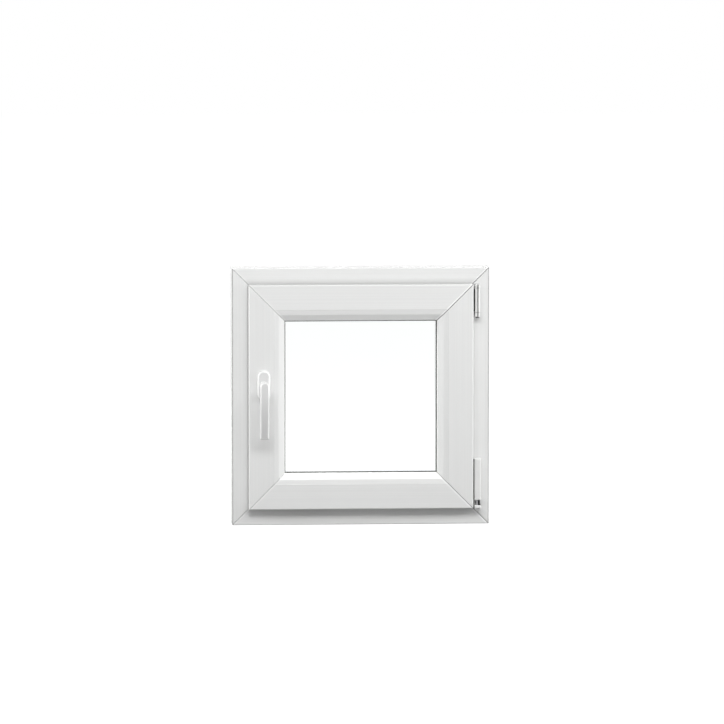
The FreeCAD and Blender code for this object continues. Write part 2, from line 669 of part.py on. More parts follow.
def drain_slot(centre_x):
    """Slot through the sill's outdoor wall, behind a drain cap."""
    corner = Vector(centre_x - DRAIN_SLOT / 2, FRAME_OUT - WALL - 1, DRAIN_RISE - DRAIN_SLOT_HEIGHT / 2)
    return Part.makeBox(DRAIN_SLOT, WALL + 2, DRAIN_SLOT_HEIGHT, corner)


def export(name, shape):
    """Write one node."""
    shape.exportStep("parts/" + name + ".step")


def export_bars(names, made):
    """Write the four bars of one section under their own names."""
    for side in SIDES:
        export(names[side], made[side])


def outer_frame():
    """Frame bars, its gasket, and the drains in the sill."""
    made = bars(frame_section(), ((FRAME_ROOM, 1), (FRAME_OUT, -1)))
    places = (-WIDTH / 2 + DRAIN_INSET, WIDTH / 2 - DRAIN_INSET)
    made["bottom"] = made["bottom"].cut([drain_slot(x) for x in places])
    export_bars({"left": "frame_left_jamb", "right": "frame_right_jamb", "top": "frame_head",
                 "bottom": "frame_sill"}, made)
    export("frame_gasket", ring(bulb_gasket(LIP_GASKET, LIP_INNER, SASH_OUT)))
    export("drain_cap_left", drain_cap(places[0]))
    export("drain_cap_right", drain_cap(places[1]))


def sash():
    """Sash bars and the gasket on the back of the flange."""
    made = bars(sash_section(), ((SASH_ROOM, 1), (SASH_OUT, -1)))
    export_bars({"left": "sash_lock_stile", "right": "sash_hinge_stile", "top": "sash_top_rail",
                 "bottom": "sash_bottom_rail"}, made)
    export("sash_gasket", ring(bulb_gasket(FLANGE_GASKET, FLANGE_BACK, FRAME_ROOM)))


def glazing():
    """Glass unit, its gaskets and the beads that hold it."""
    export_bars({side: "bead_" + side for side in SIDES}, bars(bead_section()))
    export("glazing_gasket_room", ring(glazing_gasket_section()))
    export("glazing_gasket_outdoor", ring(bulb_gasket(OUTER_GASKET_CENTRE, GLAZING_LIP_INNER, GLASS_OUT)))
    export("glass_room_pane", pane(GLASS_ROOM))
    export("glass_outdoor_pane", pane(GLASS_OUT - PANE))
    export("glass_spacer", ring(spacer_section()))


def handle():
    """Rosette on the lock stile and the lever turning in it."""
    export("handle_rosette", rosette())
    export("handle_lever", lever())


if __name__ == "__main__":
    os.makedirs("parts", exist_ok=True)
    outer_frame()
    sash()
    glazing()
    handle()
    top_hinge()
    bottom_hinge()
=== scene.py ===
"""White tilt-and-turn window: finishes, small fittings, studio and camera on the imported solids."""

import logging
import math
from dataclasses import dataclass
from enum import Enum

import bmesh
import bpy
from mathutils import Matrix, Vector


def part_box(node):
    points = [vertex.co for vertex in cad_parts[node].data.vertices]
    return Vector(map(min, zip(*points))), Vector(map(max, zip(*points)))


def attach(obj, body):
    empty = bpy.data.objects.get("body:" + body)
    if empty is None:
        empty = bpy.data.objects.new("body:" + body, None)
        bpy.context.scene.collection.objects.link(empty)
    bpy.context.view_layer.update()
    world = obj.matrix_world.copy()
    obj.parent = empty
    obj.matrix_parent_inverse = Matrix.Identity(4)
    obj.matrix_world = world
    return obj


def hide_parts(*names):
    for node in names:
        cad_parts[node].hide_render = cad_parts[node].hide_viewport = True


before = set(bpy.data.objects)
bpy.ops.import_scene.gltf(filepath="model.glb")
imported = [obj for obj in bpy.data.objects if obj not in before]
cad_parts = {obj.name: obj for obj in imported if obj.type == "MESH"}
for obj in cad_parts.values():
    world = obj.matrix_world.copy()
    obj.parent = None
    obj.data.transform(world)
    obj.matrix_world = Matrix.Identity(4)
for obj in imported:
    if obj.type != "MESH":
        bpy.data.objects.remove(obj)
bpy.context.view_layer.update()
LOG = logging.getLogger("window")

Colour = tuple[float, float, float]
Point = tuple[float, float, float]
Span = tuple[float, float]
Socket = bpy.types.NodeSocket


class Run(Enum):
    """The way a profile was drawn from its die, which its fine lines follow."""

    LEVEL = "level"
    UPRIGHT = "upright"


class Body(Enum):
    """The bodies that pieces ride on."""

    WINDOW = "window"
    HANDLE = "handle"


class Operation(Enum):
    """What a shader does with two values."""

    SUBTRACT = "SUBTRACT"
    MULTIPLY = "MULTIPLY"
    LARGER = "MAXIMUM"
    IS_ABOVE = "GREATER_THAN"


class Slope(Enum):
    """How a mapped value runs from its first result to its last."""

    STRAIGHT = "LINEAR"
    EASED = "SMOOTHSTEP"


@dataclass(frozen=True)
class Pattern:
    """Noise over an object: its units in a metre along each axis, and its finer octaves."""

    scale: Point
    detail: float = 2.0
    roughness: float = 0.5

    @classmethod
    def even(cls, scale: float, detail: float = 2.0, roughness: float = 0.5) -> "Pattern":
        """The same pattern along every axis."""
        return cls((scale, scale, scale), detail, roughness)


@dataclass(frozen=True)
class Relief:
    """A pattern's depth in metres, and how much of it shows."""

    depth: float
    shown: float


class Bench:
    """A short way to lay out and link the nodes of a tree."""

    def __init__(self, tree: bpy.types.NodeTree) -> None:
        """Take the tree to build in."""
        self.tree = tree

    def feed(self, entry: Socket, source: object) -> None:
        """Give an input what it takes.

        Args:
            entry: the input.
            source: the socket to link it to, or a plain value.
        """
        if isinstance(source, Socket):
            self.tree.links.new(source, entry)
        else:
            entry.default_value = source

    def add(self, kind: str, takes: dict[str | int, object], **settings: object) -> bpy.types.Node:
        """Add one node.

        Args:
            kind: the node's type name.
            takes: what its inputs take, by their names or places.
            **settings: properties of the node, set by name.

        Returns:
            The new node.
        """
        node = self.tree.nodes.new(kind)
        for name, value in settings.items():
            setattr(node, name, value)
        for entry, source in takes.items():
            self.feed(node.inputs[entry], source)
        return node


class ShaderBench(Bench):
    """The nodes of a material or of the world."""

    SPREAD_FROM: Span = (0.3, 0.7)
    TINT_FROM: Span = (0.35, 0.65)

    def __init__(self, owner: bpy.types.Material | bpy.types.World, output: str) -> None:
        """Start with an output alone.

        Args:
            owner: the material or world that the nodes make up.
            output: the output's type name.
        """
        owner.use_nodes = True
        super().__init__(owner.node_tree)
        self.tree.nodes.clear()
        self.output = self.add(output, {})

    def place(self) -> Socket:
        """A point's place in its object's own coordinates."""
        return self.add("ShaderNodeTexCoord", {}).outputs["Object"]

    def axes(self, vector: Socket) -> dict[str, Socket]:
        """A vector's parts along X, Y and Z."""
        node = self.add("ShaderNodeSeparateXYZ", {"Vector": vector})
        return {axis: node.outputs[axis] for axis in "XYZ"}

    def noise(self, pattern: Pattern) -> Socket:
        """Noise over the object.

        Args:
            pattern: how fine the noise is.

        Returns:
            The noise value, from 0 to 1.
        """
        mapping = self.add("ShaderNodeMapping", {"Vector": self.place(), "Scale": pattern.scale})
        takes = {
            "Vector": mapping.outputs["Vector"],
            "Scale": 1.0,
            "Detail": pattern.detail,
            "Roughness": pattern.roughness,
        }
        return self.add("ShaderNodeTexNoise", takes).outputs["Fac"]

    def ramp(
        self, value: Socket, start: float, end: float, low: float, high: float, slope: Slope = Slope.STRAIGHT
    ) -> Socket:
        """Map one range of a value onto another.

        Args:
            value: what is mapped.
            start: the value that becomes low.
            end: the value that becomes high.
            low: the first result.
            high: the last result.
            slope: how it runs between them.

        Returns:
            The mapped value.
        """
        takes = {"Value": value, "From Min": start, "From Max": end, "To Min": low, "To Max": high}
        return self.add("ShaderNodeMapRange", takes, interpolation_type=slope.value).outputs["Result"]

    def spread(self, value: Socket, span: Span) -> Socket:
        """Map the middle of a noise value onto a span."""
        return self.ramp(value, *self.SPREAD_FROM, *span, slope=Slope.EASED)

    def tint(self, value: Socket, first: Colour, second: Colour) -> Socket:
        """Blend two colours by a noise value.

        Args:
            value: the noise.
            first: colour where the noise is low.
            second: colour where it is high.

        Returns:
            The colour.
        """
        node = self.add("ShaderNodeValToRGB", {"Fac": value})
        node.color_ramp.interpolation = "EASE"
        for index, colour in enumerate((first, second)):
            element = node.color_ramp.elements[index]
            element.position = self.TINT_FROM[index]
            element.color = (*colour, 1.0)
        return node.outputs["Color"]

    def over(self, under: Socket, amount: Socket, colour: Colour) -> Socket:
        """Lay a colour over another.

        Args:
            under: the colour beneath.
            amount: how much of the new one covers it, from 0 to 1.
            colour: the new one.

        Returns:
            The mixed colour.
        """
        takes = {"Factor": amount, "A": under, "B": (*colour, 1.0)}
        return self.add("ShaderNodeMix", takes, data_type="RGBA").outputs["Result"]

    def bump(self, height: Socket, relief: Relief) -> Socket:
        """The surface's normal, raised by a height."""
        takes = {"Height": height, "Distance": relief.depth, "Strength": relief.shown}
        return self.add("ShaderNodeBump", takes).outputs["Normal"]

    def combine(self, operation: Operation, first: Socket, second: Socket | float) -> Socket:
        """Join two values."""
        return self.add("ShaderNodeMath", {0: first, 1: second}, operation=operation.value).outputs["Value"]

    def size_of(self, value: Socket) -> Socket:
        """A value without its sign."""
        return self.add("ShaderNodeMath", {0: value}, operation="ABSOLUTE").outputs["Value"]

    def show(self, shader: Socket) -> None:
        """Join a shader to the output."""
        self.feed(self.output.inputs["Surface"], shader)

    def choose(self, amount: Socket, first: Socket, second: Socket) -> None:
        """Show one shader, and by an amount from 0 to 1 the second instead."""
        self.show(self.add("ShaderNodeMixShader", {"Fac": amount, 1: first, 2: second}).outputs["Shader"])

    def principled(self, **takes: object) -> Socket:
        """Add the surface shader and show it.

        Args:
            **takes: what its inputs take, with underscores for the spaces in their names.

        Returns:
            The shader.
        """
        named = {name.replace("_", " "): source for name, source in takes.items()}
        shader = self.add("ShaderNodeBsdfPrincipled", named).outputs["BSDF"]
        self.show(shader)
        return shader


class TreeBench(Bench):
    """The nodes of a geometry tree, whose result becomes a plain mesh."""

    def __init__(self, name: str) -> None:
        """Start an empty tree.

        Args:
            name: the tree's name.
        """
        super().__init__(bpy.data.node_groups.new(name, "GeometryNodeTree"))
        self.tree.interface.new_socket("Geometry", in_out="OUTPUT", socket_type="NodeSocketGeometry")
        self.entry = self.add("NodeGroupInput", {})
        self.exit = self.add("NodeGroupOutput", {})
        self.values: dict[str, object] = {}

    def size(self, name: str, value: object, kind: str = "NodeSocketFloat") -> Socket:
        """Add a named input and remember its value.

        Args:
            name: the input's name.
            value: what the modifier sets it to.
            kind: the socket's type.

        Returns:
            The socket to link from.
        """
        socket = self.tree.interface.new_socket(name, in_out="INPUT", socket_type=kind)
        self.values[socket.identifier] = value
        return self.entry.outputs[name]

    def circle(self, sides: int, radius: Socket) -> Socket:
        """A flat circle about the origin, of a number of sides."""
        takes = {"Resolution": sides, "Radius": radius}
        return self.add("GeometryNodeCurvePrimitiveCircle", takes).outputs["Curve"]

    def oblong(self, width: Socket, height: Socket) -> Socket:
        """A flat rectangle about the origin."""
        takes = {"Width": width, "Height": height}
        return self.add("GeometryNodeCurvePrimitiveQuadrilateral", takes).outputs["Curve"]

    def sweep(self, path: Socket, section: Socket) -> Socket:
        """Draw a section along a path."""
        return self.add("GeometryNodeCurveToMesh", {"Curve": path, "Profile Curve": section}).outputs["Mesh"]

    def move(self, geometry: Socket, place: Vector | Point, turn: Point = (0.0, 0.0, 0.0)) -> Socket:
        """Turn a geometry about its origin and move it to a place."""
        takes = {"Geometry": geometry, "Translation": place, "Rotation": turn}
        return self.add("GeometryNodeTransform", takes).outputs["Geometry"]

    def join(self, parts: tuple[Socket, ...]) -> Socket:
        """Join several geometries.

        Args:
            parts: the geometries.

        Returns:
            The joined geometry.
        """
        node = self.add("GeometryNodeJoinGeometry", {})
        for part in parts:
            self.feed(node.inputs["Geometry"], part)
        return node.outputs["Geometry"]

    def finish(self, geometry: Socket, material: bpy.types.Material) -> None:
        """End the tree with real geometry in one material.

        Args:
            geometry: what the tree made.
            material: what it is made of.
        """
        coat = self.size("Material", material, "NodeSocketMaterial")
        real = self.add("GeometryNodeRealizeInstances", {"Geometry": geometry})
        coated = self.add("GeometryNodeSetMaterial", {"Geometry": real.outputs["Geometry"], "Material": coat})
        self.feed(self.exit.inputs["Geometry"], coated.outputs["Geometry"])

    def piece(self, name: str, body: Body, slot: str, crease: float) -> None:
        """Run the tree and keep its result as a plain mesh.

        Args:
            name: the piece's name.
            body: what it rides on.
            slot: the record's material slot; not used.
            crease: degrees past which an edge stays sharp.
        """
        piece = put(name, bpy.data.meshes.new(name))
        modifier = piece.modifiers.new(name, "NODES")
        modifier.node_group = self.tree
        for identifier, value in self.values.items():
            modifier[identifier] = value
        settle(piece, body, crease)


def put(name: str, data: bpy.types.ID) -> bpy.types.Object:
    """Put a new object in the scene, at the origin.

    Args:
        name: the object's name.
        data: its mesh, light or camera.

    Returns:
        The object.
    """
    made = bpy.data.objects.new(name, data)
    bpy.context.scene.collection.objects.link(made)
    return made


def settle(piece: bpy.types.Object, body: Body, crease: float) -> None:
    """Turn a piece with modifiers into a plain mesh that rides on a body.

    Args:
        piece: the object, with its modifiers.
        body: what it rides on.
        crease: degrees past which an edge stays sharp, or 0 to keep the shading that the modifiers give.
    """
    graph = bpy.context.evaluated_depsgraph_get()
    result = piece.evaluated_get(graph)
    mesh = bpy.data.meshes.new_from_object(result, preserve_all_data_layers=True, depsgraph=graph)
    piece.modifiers.clear()
    piece.data = mesh
    if crease:
        mesh.shade_smooth()
        mesh.set_sharp_from_angle(angle=math.radians(crease))
    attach(piece, body.value)
    LOG.info("made %s with %d faces", piece.name, len(mesh.polygons))


def front_middle() -> Vector:
    """The middle of the window, on the frame's room face.

    Returns:
        The point.
    """
    head_low, head_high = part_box("frame_head")
    jamb_low, jamb_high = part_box("frame_left_jamb")
    return Vector(((head_low.x + head_high.x) / 2, head_low.y, (jamb_low.z + jamb_high.z) / 2))


@dataclass(frozen=True)
class Finish:
    """A finish, which becomes a material."""

    name: str

    def lay(self, bench: ShaderBench) -> None:
        """Lay out the nodes, which each kind of finish does in its own way."""
        raise NotImplementedError

    def material(self) -> bpy.types.Material:
        """Make the material.

        Returns:
            The material.
        """
        made = bpy.data.materials.new(self.name)
        self.lay(ShaderBench(made, "ShaderNodeOutputMaterial"))
        return made


@dataclass(frozen=True)
class ProfileFinish(Finish):
    """White drawn plastic of the bars: faint lines, soft gloss, dark joints, painted shade beside the sash
    and on the outer rims, and a painted highlight beside the joints.
    """

    run: Run
    light: Colour = (0.812, 0.815, 0.808)
    shade: Colour = (0.792, 0.796, 0.790)
    # Colour of the dark joints and of the painted shade on the frame.
    dirt_and_shade: Colour = (0.180, 0.180, 0.179)
    # Colour of the painted highlight beside each mitre joint.
    weld_highlight: Colour = (0.950, 0.951, 0.947)
    ior: float = 1.53
    gloss: Span = (0.20, 0.26)
    relief: Relief = Relief(0.00003, 0.12)
    lines_along: float = 1.5
    lines_across: float = 420.0
    lines_detail: float = 3.0
    highlight_start: float = 0.0020
    highlight_end: float = 0.0056
    highlight_fade: float = 0.0008
    joint_half: float = 0.0006
    joint_fade: float = 0.0013
    # The joints' darkening and highlight grow towards the top and the hinge side, as painted shade and
    # painted highlight.
    joint_lean: Point = (1.0, 0.0, 0.50)
    lean_start: float = -0.12
    lean_end: float = 0.30
    joint_least: float = 0.40
    joint_most: float = 1.0
    # Painted shade on the frame beside the sash's edge, and along the jambs' outer rims.
    seat_gap: float = 0.0002
    seat_fade: float = 0.0030
    seat_shade: float = 0.48
    rim_inset: float = 0.0018
    rim_half: float = 0.0004
    rim_shade: float = 0.92
    front_start: float = 0.0010
    front_end: float = 0.0025

    def joints(self, bench: ShaderBench, offset: Socket, across: Socket) -> tuple[Socket, Socket]:
        """The mitre joints: dark lines, with painted shade making them darker towards the top of the hinge
        side, and a painted highlight beside them.

        Args:
            bench: the material being made.
            offset: a point's place, from the window's middle.
            across: how far past the mitre it lies, less than 0 on the level bars.

        Returns:
            The amounts of darkening in the joint and of painted highlight beside it, from 0 to 1.
        """
        lean = bench.add("ShaderNodeVectorMath", {0: offset, 1: self.joint_lean}, operation="DOT_PRODUCT")
        lean_span = (self.lean_start, self.lean_end)
        # Stronger towards the top and the hinge side: painted shade in the joint, painted highlight beside
        # it.
        shown = bench.ramp(lean.outputs["Value"], *lean_span, self.joint_least, self.joint_most)
        line = bench.ramp(bench.size_of(across), self.joint_half, self.joint_fade, 1.0, 0.0)
        # A strip on the level bars' side of the joint, where a highlight is painted.
        near = bench.ramp(across, -self.highlight_start - self.highlight_fade, -self.highlight_start, 1.0, 0.0)
        inside = bench.ramp(across, -self.highlight_end - self.highlight_fade, -self.highlight_end, 0.0, 1.0)
        strip = bench.combine(Operation.MULTIPLY, near, inside)
        darkening = bench.combine(Operation.MULTIPLY, line, shown)
        return darkening, bench.combine(Operation.MULTIPLY, strip, shown)

    def painted_frame_shade(self, bench: ShaderBench, own: dict[str, Socket], far: dict[str, Socket]) -> Socket:
        """Painted shade on the frame's front: beside the sash, save on the hinge side, and on the jambs'
        outer rims.

        Args:
            bench: the material being made.
            own: a point's own place.
            far: its distances from the window's middle.

        Returns:
            The amount of painted shade, from 0 to 1.
        """
        frame_low, frame_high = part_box("frame_head")
        _, sash_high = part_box("sash_top_rail")
        seat_edge = sash_high.x + self.seat_gap
        rim_edge = frame_high.x - self.rim_inset
        out = bench.combine(Operation.LARGER, far["X"], far["Z"])
        # Painted shadow of the sash on the frame, next to its edge.
        beside = bench.ramp(out, seat_edge, seat_edge + self.seat_fade, self.seat_shade, 0.0)
        darkening = bench.combine(Operation.MULTIPLY, beside, bench.combine(Operation.IS_ABOVE, out, seat_edge))
        if self.run is Run.UPRIGHT:
            # The painted shade beside the sash is kept off the hinge side.
            lock_side = bench.ramp(own["X"], -rim_edge / 2, 0.0, 1.0, 0.0)
            # Painted shade along the jambs' outer rounded rims.
            rim = bench.ramp(far["X"], rim_edge - self.rim_half, rim_edge + self.rim_half, 0.0, self.rim_shade)
            seat = bench.combine(Operation.MULTIPLY, darkening, lock_side)
            darkening = bench.combine(Operation.LARGER, seat, rim)
        front_span = (frame_low.y + self.front_start, frame_low.y + self.front_end)
        return bench.combine(Operation.MULTIPLY, darkening, bench.ramp(own["Y"], *front_span, 1.0, 0.0))

    def marks(self, bench: ShaderBench) -> tuple[Socket, Socket]:
        """Where the bar is darkened, by its dark joints and by painted shade along its edges, and where a
        highlight is painted beside the joints.

        Args:
            bench: the material being made.

        Returns:
            The amounts of darkening and of painted highlight, from 0 to 1.
        """
        place = bench.place()
        centred = bench.add("ShaderNodeVectorMath", {0: place, 1: front_middle()}, operation="SUBTRACT")
        offset = centred.outputs["Vector"]
        folded = bench.add("ShaderNodeVectorMath", {0: offset}, operation="ABSOLUTE")
        far = bench.axes(folded.outputs["Vector"])
        across = bench.combine(Operation.SUBTRACT, far["X"], far["Z"])
        joint, weld_side_highlight = self.joints(bench, offset, across)
        edge = self.painted_frame_shade(bench, bench.axes(place), far)
        return bench.combine(Operation.LARGER, joint, edge), weld_side_highlight

    def lay(self, bench: ShaderBench) -> None:
        """Lay out the plastic and its marks.

        Args:
            bench: the material being made.
        """
        along, across = self.lines_along, self.lines_across
        scale = (along, across, across) if self.run is Run.LEVEL else (across, across, along)
        lines = bench.noise(Pattern(scale, self.lines_detail))
        darkening, weld_side_highlight = self.marks(bench)
        plain = bench.tint(lines, self.shade, self.light)
        # A painted highlight beside the joints, then the dark joints and painted shade over it.
        bench.principled(
            Base_Color=bench.over(bench.over(plain, weld_side_highlight, self.weld_highlight), darkening, self.dirt_and_shade),
            Roughness=bench.spread(lines, self.gloss),
            IOR=self.ior,
            Normal=bench.bump(lines, self.relief),
        )


@dataclass(frozen=True)
class MouldedFinish(Finish):
    """White moulded plastic of the caps and covers: fine even grain."""

    light: Colour = (0.815, 0.816, 0.808)
    shade: Colour = (0.795, 0.797, 0.790)
    mottle: Pattern = Pattern.even(40.0, 3.0)
    grain: Pattern = Pattern.even(2200.0)
    ior: float = 1.5
    gloss: Span = (0.30, 0.42)
    relief: Relief = Relief(0.00003, 0.3)

    def lay(self, bench: ShaderBench) -> None:
        """Lay out the plastic.

        Args:
            bench: the material being made.
        """
        grain = bench.noise(self.grain)
        bench.principled(
            Base_Color=bench.tint(bench.noise(self.mottle), self.shade, self.light),
            Roughness=bench.spread(grain, self.gloss),
            IOR=self.ior,
            Normal=bench.bump(grain, self.relief),
        )


@dataclass(frozen=True)
class PaintFinish(Finish):
    """White powder coat on the cast handle: orange peel, a clear gloss, a painted highlight on the bevels and
    painted shade down the grip.
    """

    light: Colour = (0.735, 0.738, 0.734)
    shade: Colour = (0.728, 0.731, 0.727)
    # Painted shade colour, laid on the lever towards its tip.
    grip_shade: Colour = (0.605, 0.607, 0.605)
    # Painted highlight colour for the bevels.
    edge: Colour = (0.845, 0.847, 0.843)
    mottle: Pattern = Pattern.even(160.0)
    peel: Pattern = Pattern.even(700.0, 1.0)
    ior: float = 1.5
    gloss: Span = (0.28, 0.30)
    relief: Relief = Relief(0.00002, 0.15)
    coat: float = 0.35
    coat_roughness: float = 0.12
    grip_inset: float = 0.0095
    grip_length: float = 0.0900
    flat_facing: float = 0.97
    edge_facing: float = 0.90
    bevel_facing: float = 0.35
    side_facing: float = 0.20

    def painted_edge_highlight(self, bench: ShaderBench) -> Socket:
        """1 on the bevels between the handle's front and its sides, where a highlight is painted.

        Args:
            bench: the material being made.

        Returns:
            The amount, from 0 to 1.
        """
        surface = bench.add("ShaderNodeNewGeometry", {})
        facing = bench.size_of(bench.axes(surface.outputs["True Normal"])["Y"])
        off_front = bench.ramp(facing, self.edge_facing, self.flat_facing, 1.0, 0.0)
        off_side = bench.ramp(facing, self.side_facing, self.bevel_facing, 0.0, 1.0)
        return bench.combine(Operation.MULTIPLY, off_front, off_side)

    def painted_grip_shade(self, bench: ShaderBench) -> Socket:
        """How much painted shade lies on the lever, growing from its neck down to its tip.

        Args:
            bench: the material being made.

        Returns:
            The amount, from 0 to 1.
        """
        tip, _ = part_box("handle_lever")
        darkest_z = tip.z + self.grip_inset
        return bench.ramp(bench.axes(bench.place())["Z"], darkest_z, darkest_z + self.grip_length, 1.0, 0.0)

    def lay(self, bench: ShaderBench) -> None:
        """Lay out the paint, its painted highlights and its painted shade.

        Args:
            bench: the material being made.
        """
        mottle = bench.noise(self.mottle)
        plain = bench.tint(mottle, self.shade, self.light)
        # Painted shade down the grip.
        grip_shaded = bench.over(plain, self.painted_grip_shade(bench), self.grip_shade)
        # Painted highlight on the bevels, laid over the rest.
        bench.principled(
            Base_Color=bench.over(grip_shaded, self.painted_edge_highlight(bench), self.edge),
            Roughness=bench.spread(mottle, self.gloss),
            IOR=self.ior,
            Normal=bench.bump(bench.noise(self.peel), self.relief),
            Coat_Weight=self.coat,
            Coat_Roughness=self.coat_roughness,
        )


@dataclass(frozen=True)
class RubberFinish(Finish):
    """Dark sealing rubber with a dusty bloom."""

    light: Colour = (0.060, 0.061, 0.060)
    shade: Colour = (0.034, 0.035, 0.035)
    bloom: Pattern = Pattern.even(55.0, 5.0, 0.65)
    grain: Pattern = Pattern.even(1500.0)
    ior: float = 1.5
    gloss: Span = (0.55, 0.72)
    relief: Relief = Relief(0.00005, 0.4)

    def lay(self, bench: ShaderBench) -> None:
        """Lay out the rubber.

        Args:
            bench: the material being made.
        """
        bloom = bench.noise(self.bloom)
        bench.principled(
            Base_Color=bench.tint(bloom, self.shade, self.light),
            Roughness=bench.spread(bloom, self.gloss),
            IOR=self.ior,
            Normal=bench.bump(bench.noise(self.grain), self.relief),
        )


@dataclass(frozen=True)
class GlassFinish(Finish):
    """Clear float glass that lets lamp light through."""

    tint: Colour = (0.985, 0.995, 0.990)
    ripple: Pattern = Pattern.even(5.0, 1.0)
    ior: float = 1.5
    relief: Relief = Relief(0.0002, 0.02)

    def lay(self, bench: ShaderBench) -> None:
        """Lay out the glass, which shadow rays pass.

        Args:
            bench: the material being made.
        """
        glass = bench.principled(
            Base_Color=(*self.tint, 1.0),
            Roughness=0.0,
            IOR=self.ior,
            Normal=bench.bump(bench.noise(self.ripple), self.relief),
            Transmission_Weight=1.0,
        )
        clear = bench.add("ShaderNodeBsdfTransparent", {"Color": (*self.tint, 1.0)})
        path = bench.add("ShaderNodeLightPath", {})
        bench.choose(path.outputs["Is Shadow Ray"], glass, clear.outputs["BSDF"])


@dataclass(frozen=True)
class MetalFinish(Finish):
    """Bare metal: cloudy tone, fine drawn lines along one way."""

    light: Colour
    shade: Colour
    lines: Pattern
    gloss: Span
    cloud: Pattern = Pattern.even(90.0, 4.0, 0.6)
    relief: Relief = Relief(0.00004, 0.3)

    def lay(self, bench: ShaderBench) -> None:
        """Lay out the metal.

        Args:
            bench: the material being made.
        """
        cloud = bench.noise(self.cloud)
        bench.principled(
            Base_Color=bench.tint(cloud, self.shade, self.light),
            Metallic=1.0,
            Roughness=bench.spread(cloud, self.gloss),
            Normal=bench.bump(bench.noise(self.lines), self.relief),
        )


class Finishes:
    """Every finish on the window, made once."""

    def __init__(self) -> None:
        """Make the materials."""
        # On the head and sill the painted shade spreads further from the sash, as its painted shadow.
        level = ProfileFinish("white_profile_level", Run.LEVEL, seat_fade=0.014, seat_shade=0.35)
        self.level_profile = level.material()
        self.upright_profile = ProfileFinish("white_profile_upright", Run.UPRIGHT).material()
        self.moulded = MouldedFinish("white_caps").material()
        self.paint = PaintFinish("white_handle_paint").material()
        self.rubber = RubberFinish("sealing_rubber").material()
        self.sealant = RubberFinish(
            "black_sealant",
            light=(0.022, 0.022, 0.022),
            shade=(0.012, 0.012, 0.012),
        ).material()
        self.glass = GlassFinish("float_glass").material()
        self.black_steel = MetalFinish(
            "blackened_steel",
            light=(0.045, 0.045, 0.047),
            shade=(0.026, 0.026, 0.027),
            lines=Pattern.even(900.0, 3.0),
            gloss=(0.40, 0.55),
        ).material()
        self.aluminium = MetalFinish(
            "spacer_aluminium",
            light=(0.72, 0.73, 0.74),
            shade=(0.62, 0.63, 0.65),
            lines=Pattern((20.0, 1200.0, 20.0), 3.0),
            gloss=(0.30, 0.42),
        ).material()
        self.steel = MetalFinish(
            "zinc_plated_steel",
            light=(0.42, 0.42, 0.43),
            shade=(0.30, 0.30, 0.31),
            lines=Pattern((1200.0, 1200.0, 30.0), 3.0),
            gloss=(0.32, 0.48),
        ).material()


def dress(names: tuple[str, ...], material: bpy.types.Material) -> None:
    """Give CAD nodes a material.

    Args:
        names: the nodes.
        material: what they are made of.
    """
    for name in names:
        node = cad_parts[name]
        node.data.materials.clear()
        node.data.materials.append(material)
        LOG.info("dressed %s with %s", name, material.name)


@dataclass
class OuterFrame:
    """The mitred outer frame, its gasket and its drain caps."""

    level: tuple[str, ...] = ("frame_head", "frame_sill")
    upright: tuple[str, ...] = ("frame_left_jamb", "frame_right_jamb")

    def build(self, finishes: Finishes) -> None:
        """Dress the frame's solids.

        Args:
            finishes: the finishes to use.
        """
        dress(self.level, finishes.level_profile)
        dress(self.upright, finishes.upright_profile)
        dress(("frame_gasket",), finishes.rubber)
        dress(("drain_cap_left", "drain_cap_right"), finishes.moulded)


@dataclass
class Sash:
    """The opening sash and the gasket on its flange."""

    level: tuple[str, ...] = ("sash_top_rail", "sash_bottom_rail")
    upright: tuple[str, ...] = ("sash_lock_stile", "sash_hinge_stile")

    def build(self, finishes: Finishes) -> None:
        """Dress the sash's solids.

        Args:
            finishes: the finishes to use.
        """
        dress(self.level, finishes.level_profile)
        dress(self.upright, finishes.upright_profile)
        dress(("sash_gasket",), finishes.rubber)


